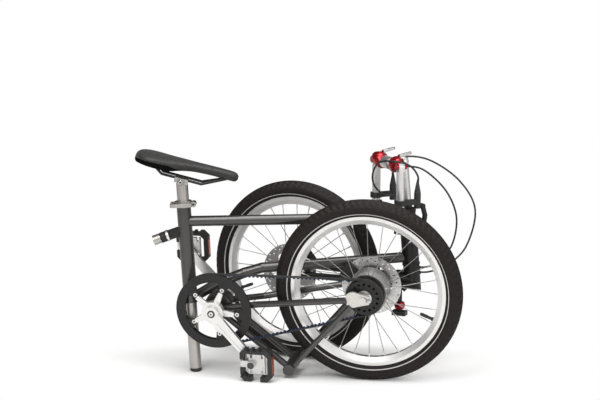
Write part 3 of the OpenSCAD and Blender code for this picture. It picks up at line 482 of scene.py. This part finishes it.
def belt_piece():
    angle = math.acos((RING_EDGE - SPROCKET_EDGE) / STAY_LEN)
    loop = []
    wraps = [(0.0, RING_EDGE, angle, 2 * math.pi - angle, RING_STEPS),
             (STAY_LEN, SPROCKET_EDGE, -angle, angle, SPROCKET_STEPS)]
    for centre, r, start, end, count in wraps:
        for i in range(count + 1):
            t = start + (end - start) * i / count
            loop.append((centre, r, t))
    verts = []
    half = BELT_W / 2
    section = [(0, -half), (BELT_T, -half), (BELT_T, -BELT_GROOVE), (BELT_T - BELT_GROOVE, 0),
               (BELT_T, BELT_GROOVE), (BELT_T, half), (0, half)]
    for centre, r, t in loop:
        for depth, y in section:
            verts.append((centre + (r + depth) * math.cos(t), y - BELT_LINE, (r + depth) * math.sin(t)))
    n, count = len(section), len(loop)
    faces = [(i * n + k, i * n + (k + 1) % n, (i + 1) % count * n + (k + 1) % n, (i + 1) % count * n + k)
             for i in range(count) for k in range(n)]
    teeth = []
    for side in (1, -1):
        a = Vector((RING_EDGE * math.cos(angle), 0, side * RING_EDGE * math.sin(angle)))
        b = Vector((STAY_LEN + SPROCKET_EDGE * math.cos(angle), 0, side * SPROCKET_EDGE * math.sin(angle)))
        ahead = (b - a).normalized()
        out = Vector((math.cos(angle), 0, side * math.sin(angle)))
        room = (b - a).length
        for i in range(BARE_START, int(room / TOOTH_PITCH) - BARE_END):
            at = a + ahead * (i + 0.5) * TOOTH_PITCH
            box = []
            for y in (-half + TOOTH_SIDE, half - TOOTH_SIDE):
                for along, deep in ((-TOOTH_ROOT, TOOTH_SIDE), (TOOTH_ROOT, TOOTH_SIDE),
                                    (TOOTH_TIP, -TOOTH_HEIGHT), (-TOOTH_TIP, -TOOTH_HEIGHT)):
                    box.append(at + ahead * along + out * deep + Vector((0, y - BELT_LINE, 0)))
            teeth.append((box, BOX_FACES))
    band = len(faces)
    verts, faces = joined([(verts, faces)] + teeth)
    looks = [0] * band + [1] * (len(faces) - band)
    where = IN_SWING @ turn("Y", -STAY_RISE)
    obj = piece("belt_toothed", verts, faces, where, "swing_arm", [RUBBER, NAVY], looks,
                smooth=30)
    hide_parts("belt")


belt_piece()

# Crank and ring bolts: a black washer with a silver bolt, and a black disc in each ring bolt's socket, painted
# shade in the recess
WASHER_END, CRANK_BOLT_END = -CRANK_FACE - 1.4, -CRANK_FACE - 3.0
SHADE_DISC_FACE, SHADE_DISC_END = -BELT_LINE - 9, -BELT_LINE - 9.4
turned("crank_washer", cap(10.5, -CRANK_FACE, WASHER_END), [IN_SWING], "crank", GLOSS)
turned("crank_bolt", cap(6.2, WASHER_END, CRANK_BOLT_END, bore=2.6), [IN_SWING], "crank",
       SILVER)
tabs = [IN_SWING @ turn("Y", CRANK_SLOPE + TAB_TURN + i * 360 / RING_TABS) @ shift(BOLT_R, 0, 0)
        for i in range(RING_TABS)]
turned("ring_socket_painted_shade", cap(2.7, SHADE_DISC_FACE, SHADE_DISC_END, 0.2), tabs, "crank", GLOSS, 12)

# Latch and seat: a silver collar between the latch stub and its buffer, the bolt that holds the saddle clamp,
# and the nut on the seat clamp's collar
LATCH_RING = [(12.9, 0.1), (14.8, 0.1), (15.4, 0.7), (15.4, 6.2), (14.8, 6.8), (12.9, 6.8)]
SADDLE_BOLT = IN_SADDLE @ shift(0, -31.0, -4)
COLLAR_NUT = shift(-301, -37, 461.5)
turned("latch_ring", [(r, STUB_LEN + y) for r, y in LATCH_RING], [IN_LATCH], "frame",
       SILVER, 48)
turned("saddle_washer", cap(8.6, 0, -1.2), [SADDLE_BOLT], "post", SPOKE)
turned("saddle_bolt", cap(5.8, -1.2, -3.6, 0.7, 2.8), [SADDLE_BOLT], "post", STEEL)
# A black disc in the saddle bolt's socket: painted shade in the recess
turned("saddle_socket_painted_shade", cap(2.9, -1.1, -1.9, 0.2), [SADDLE_BOLT], "post", GLOSS, 6)
turned("collar_nut", cap(7.5, 13, -13, 1.0, 3.2), [COLLAR_NUT], "frame", SATIN_SHADED)
# A black disc in the collar nut's socket: painted shade in the recess
turned("collar_socket_painted_shade", cap(3.3, -11.4, -12.2, 0.2), [COLLAR_NUT], "frame", GLOSS, 6)

# Pedals: an end cap on the hub and a reflector on the outer end of the cage
FLIP = Matrix.Scale(-1, 4, (0, 1, 0))
HUB_END, HUB_CAP_R, HUB_CAP_T = CRANK_FACE + 24, 10, 1.6
CAGE_END = PEDAL_MID + PEDAL_HALF
REFLECTOR_T, REFLECTOR_HALF, REFLECTOR_EDGE = 1.8, 22, 1.0
REFLECTOR_Y = (CRANK_FACE + 6, CRANK_FACE + 20)


def pedal_frame(side):
    slope = CRANK_SLOPE if side < 0 else CRANK_SLOPE + 180
    frame_at = IN_SWING @ turn("Y", slope) @ shift(CRANK_LEN, 0, 0) @ turn("Y", -slope)
    return frame_at @ FLIP if side < 0 else frame_at


def slab(x0, x1, y0, y1, z0, z1, edge):
    """A plate in the YZ plane, with its outer face drawn in by edge on every side."""
    corners = [(x0, y0, z0), (x0, y1, z0), (x0, y1, z1), (x0, y0, z1)]
    inner = [(x1, y0 + edge, z0 + edge), (x1, y1 - edge, z0 + edge), (x1, y1 - edge, z1 - edge),
             (x1, y0 + edge, z1 - edge)]
    return corners + inner, BOX_FACES


for side, word in ((-1, "right"), (1, "left")):
    at = pedal_frame(side)
    turned("pedal_cap_" + word, cap(HUB_CAP_R, HUB_END, HUB_END + HUB_CAP_T, 0.8), [at], "pedal_" + word,
           GLOSS, 8)
    verts, faces = slab(CAGE_END, CAGE_END + REFLECTOR_T, *REFLECTOR_Y, -REFLECTOR_HALF, REFLECTOR_HALF,
                        REFLECTOR_EDGE)
    piece("pedal_reflector_" + word, verts, faces, at, "pedal_cage_" + word,
          [AMBER], smooth=25)

# Handlebar clamps: a grey quick lever over each, with its upper edge drawn in
QUICK_X, QUICK_Z, QUICK_TILT = 6, 20, -12
QUICK_IN, QUICK_HALF = 24, 5
QUICK_OUTLINE = [(2, -0.6), (34.3, 1.5), (38.7, 5), (34.3, 8.5), (2, 10.6)]
QUICK_INSET = [(2.6, 0.4), (33.8, 2.5), (37.2, 5), (33.8, 7.5), (2.6, 9.6)]
QUICK_LAYERS = [(QUICK_OUTLINE, -0.5), (QUICK_OUTLINE, 5.6), (QUICK_INSET, 6.6)]
quick_verts = [(x, y, z) for outline, z in QUICK_LAYERS for x, y in outline]
n = len(QUICK_OUTLINE)
quick_faces = [tuple(range(n)), tuple(range(2 * n, 3 * n))]
quick_faces += [(b + i, b + (i + 1) % n, b + n + (i + 1) % n, b + n + i) for b in (0, n) for i in range(n)]
for side, word in ((-1, "right"), (1, "left")):
    at = IN_BAR @ shift(QUICK_X, side * (BAR_HALF - QUICK_IN) - QUICK_HALF, QUICK_Z) @ turn("Y", QUICK_TILT)
    piece("clamp_lever_" + word, quick_verts, quick_faces, at, "stem", [BRUSHED], smooth=25)

# Wheels: nipples at the rim and a black valve with its cap, each from steps of (radius, distance from the rim)
NIPPLE_STEPS = [(2.6, 0), (2.6, 2.5), (1.9, 3.0), (1.9, 10.0), (1.2, 11.0)]
VALVE_STEPS = [(5.4, 0), (5.4, 4), (4.0, 5), (4.0, 16), (4.6, 17), (4.6, 32), (3.6, 36.8), (2.0, 37.2)]
NIPPLE_SIDE = 2.5
SPOKE_LEAD, LEAD_FLANGE_R = 1.3, 27


def wheel_trim(word, where, flange_r):
    body = word + "_wheel"
    lead = 360 / SPOKES
    end = RIM_R - RIM_DEPTH
    parts = []
    for i in range(SPOKES):
        side = 1 if i % 2 == 0 else -1
        slant = 1 if i % 4 < 2 else -1
        a = math.radians(i * lead)
        b = a + math.radians(slant * SPOKE_LEAD * lead * LEAD_FLANGE_R / flange_r)
        foot_y = side * (FLANGE_Y + slant * FLANGE_LAY)
        foot = Vector((flange_r * math.cos(b), foot_y, flange_r * math.sin(b)))
        tip = Vector((end * math.cos(a), side * NIPPLE_SIDE, end * math.sin(a)))
        inward = (foot - tip).normalized()
        parts.append(tube([tip + inward * d for r, d in NIPPLE_STEPS], [r for r, d in NIPPLE_STEPS], 8))
    verts, faces = joined(parts)
    piece(word + "_nipples", verts, faces, where, body, [SILVER], smooth=35)
    path = [Vector((end - d, 0, 0)) for r, d in VALVE_STEPS]
    verts, faces = tube(path, [r for r, d in VALVE_STEPS], 16)
    valve = where @ turn("Y", VALVE_TURN)
    piece(word + "_valve", verts, faces, valve, body, [PLASTIC], smooth=35)


wheel_trim("rear", IN_REAR_WHEEL, REAR_FLANGE_R)
wheel_trim("front", IN_FRONT_WHEEL, FRONT_FLANGE_R)

# Floor: a camera-only white glow is held back in an oval pool about the bicycle, painting a shade pool there;
# inside it the floor's real shadows show, and further out it blends to plain white for the camera
FLOOR_HALF, FLOOR_DROP = 12, 0.0005
# The oval of painted shade about the bicycle: its middle, its half sizes and where the glow fades in at its
# edge
SHADE_POOL_MID, SHADE_POOL_HALF = (-0.06, 0.03), (0.66, 0.22)
SHADE_POOL_EDGE = (0.75, 1.05)
floor_mesh = bpy.data.meshes.new("floor")
bm = bmesh.new()
bmesh.ops.create_grid(bm, x_segments=1, y_segments=1, size=FLOOR_HALF)
bm.to_mesh(floor_mesh)
bm.free()
floor = bpy.data.objects.new("floor", floor_mesh)
floor.location = (0, 0, -FLOOR_DROP)
scene.collection.objects.link(floor)
floor_look = bpy.data.materials.new("floor")
floor_look.use_nodes = True
floor_nodes = floor_look.node_tree.nodes
floor_links = floor_look.node_tree.links
floor_base = floor_nodes["Principled BSDF"]
floor_base.inputs["Base Color"].default_value = (0.9, 0.895, 0.89, 1)
floor_base.inputs["Roughness"].default_value = 0.9
floor_base.inputs["Specular IOR Level"].default_value = 0.1
floor_where = floor_nodes.new("ShaderNodeTexCoord")
floor_away = floor_nodes.new("ShaderNodeVectorMath")
floor_away.operation = "LENGTH"
painted_shade_pool = floor_nodes.new("ShaderNodeMapping")
painted_shade_pool.inputs["Scale"].default_value = (1 / SHADE_POOL_HALF[0], 1 / SHADE_POOL_HALF[1], 0)
painted_shade_pool.inputs["Location"].default_value = (-SHADE_POOL_MID[0] / SHADE_POOL_HALF[0], -SHADE_POOL_MID[1] / SHADE_POOL_HALF[1], 0)
floor_links.new(floor_where.outputs["Object"], painted_shade_pool.inputs["Vector"])
floor_links.new(painted_shade_pool.outputs["Vector"], floor_away.inputs[0])
floor_rise = floor_nodes.new("ShaderNodeMapRange")
floor_rise.inputs["From Min"].default_value = SHADE_POOL_EDGE[0]
floor_rise.inputs["From Max"].default_value = SHADE_POOL_EDGE[1]
floor_links.new(floor_away.outputs["Value"], floor_rise.inputs["Value"])
# Camera-only white glow, faded out inside the pool: painted shade about the bicycle
floor_path = floor_nodes.new("ShaderNodeLightPath")
painted_glow_share = floor_nodes.new("ShaderNodeMath")
painted_glow_share.operation = "MULTIPLY"
floor_links.new(floor_path.outputs["Is Camera Ray"], painted_glow_share.inputs[0])
floor_links.new(floor_rise.outputs["Result"], painted_glow_share.inputs[1])
painted_white_glow = floor_nodes.new("ShaderNodeEmission")
painted_white_glow.inputs["Color"].default_value = (1, 1, 1, 1)
painted_white_glow.inputs["Strength"].default_value = 1.0
floor_mix = floor_nodes.new("ShaderNodeMixShader")
floor_links.new(painted_glow_share.outputs["Value"], floor_mix.inputs[0])
floor_links.new(floor_base.outputs["BSDF"], floor_mix.inputs[1])
floor_links.new(painted_white_glow.outputs["Emission"], floor_mix.inputs[2])
floor_links.new(floor_mix.outputs["Shader"], floor_nodes["Material Output"].inputs["Surface"])
floor_mesh.materials.append(floor_look)

# Light: the world is bright on the near side and dim behind, so that bright metal keeps dark edges
STUDIO_WAY, STUDIO_SPAN = (0.42, -0.85, 0.32), (-0.25, 0.9)
WORLD_NEAR, WORLD_BACK, WORLD_SEEN = 0.95, 0.05, 1.0
world = bpy.data.worlds.new("studio")
world.use_nodes = True
scene.world = world
sky = world.node_tree.nodes["Background"]
sky.inputs["Color"].default_value = (1, 1, 1, 1)
world_nodes, world_links = world.node_tree.nodes, world.node_tree.links
view_way = world_nodes.new("ShaderNodeTexCoord")
studio_side = world_nodes.new("ShaderNodeVectorMath")
studio_side.operation = "DOT_PRODUCT"
studio_side.inputs[1].default_value = STUDIO_WAY
world_links.new(view_way.outputs["Generated"], studio_side.inputs[0])
studio_fall = world_nodes.new("ShaderNodeMapRange")
studio_fall.inputs["From Min"].default_value = STUDIO_SPAN[0]
studio_fall.inputs["From Max"].default_value = STUDIO_SPAN[1]
studio_fall.inputs["To Min"].default_value = WORLD_BACK
studio_fall.inputs["To Max"].default_value = WORLD_NEAR
world_links.new(studio_side.outputs["Value"], studio_fall.inputs["Value"])
light_path = world_nodes.new("ShaderNodeLightPath")
strength = world_nodes.new("ShaderNodeMapRange")
strength.inputs["To Max"].default_value = WORLD_SEEN
world_links.new(studio_fall.outputs["Result"], strength.inputs["To Min"])
world_links.new(light_path.outputs["Is Camera Ray"], strength.inputs["Value"])
world_links.new(strength.outputs["Result"], sky.inputs["Strength"])


def lamp(name, place, target, power, size):
    data = bpy.data.lights.new(name, "AREA")
    data.energy = power
    data.size = size
    obj = bpy.data.objects.new(name, data)
    obj.location = place
    obj.rotation_euler = (Vector(target) - Vector(place)).to_track_quat("-Z", "Y").to_euler()
    scene.collection.objects.link(obj)


lamp("key", (-1.0, -2.0, 2.5), (0, 0, 0.3), 42, 1.3)
lamp("fill", (2.2, -1.8, 1.4), (0, 0, 0.3), 12, 1.4)
lamp("top", (0.1, -0.4, 2.6), (0, -0.05, 0.3), 46, 1.6)

scene.view_settings.view_transform = "Standard"
